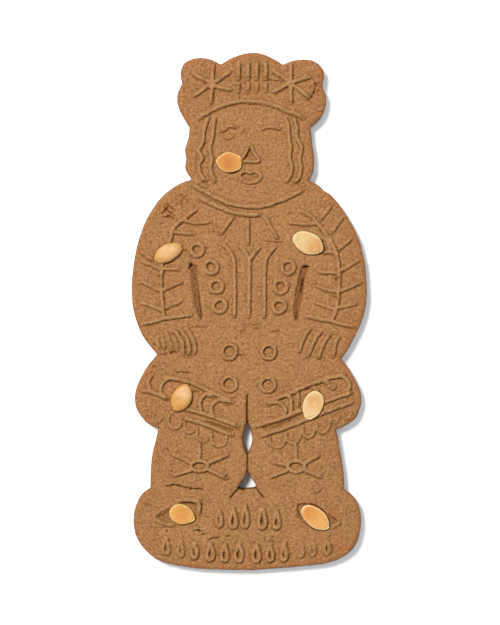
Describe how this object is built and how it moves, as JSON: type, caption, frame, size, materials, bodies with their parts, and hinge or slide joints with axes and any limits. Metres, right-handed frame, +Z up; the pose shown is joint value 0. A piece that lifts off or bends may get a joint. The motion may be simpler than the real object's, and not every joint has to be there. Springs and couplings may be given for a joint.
{
  "type": "gingerbread man cookie",
  "caption": "Large flat moulded spice biscuit in the shape of a standing figure on a plinth, with raised line relief and almond halves and slices pressed into its top face.",
  "frame": {"origin": "middle of the underside, at the centre of the biscuit's length and width", "axes": "+Y from the plinth to the hat, +X to the right of someone who looks down at the face with the hat away from them, +Z up out of the moulded face"},
  "size_m": [0.1411, 0.3102, 0.014],
  "materials": {
    "cookie": "matt baked spice dough, medium brown with a fine crumb, a little darker and redder at the rim",
    "almond_slice": "toasted almond slice, tan middle with a cream rim",
    "almond_kernel": "half an almond kernel, smooth, faintly glossy, pale cream to tan"
  },
  "bodies": {
    "root": {"cookie": "cookie", "almond_face": "almond_slice", "almond_chest_left": "almond_kernel", "almond_chest_right": "almond_slice", "almond_thigh_left": "almond_kernel", "almond_thigh_right": "almond_slice", "almond_foot_left": "almond_slice", "almond_foot_right": "almond_slice"}
  },
  "joints": []
}
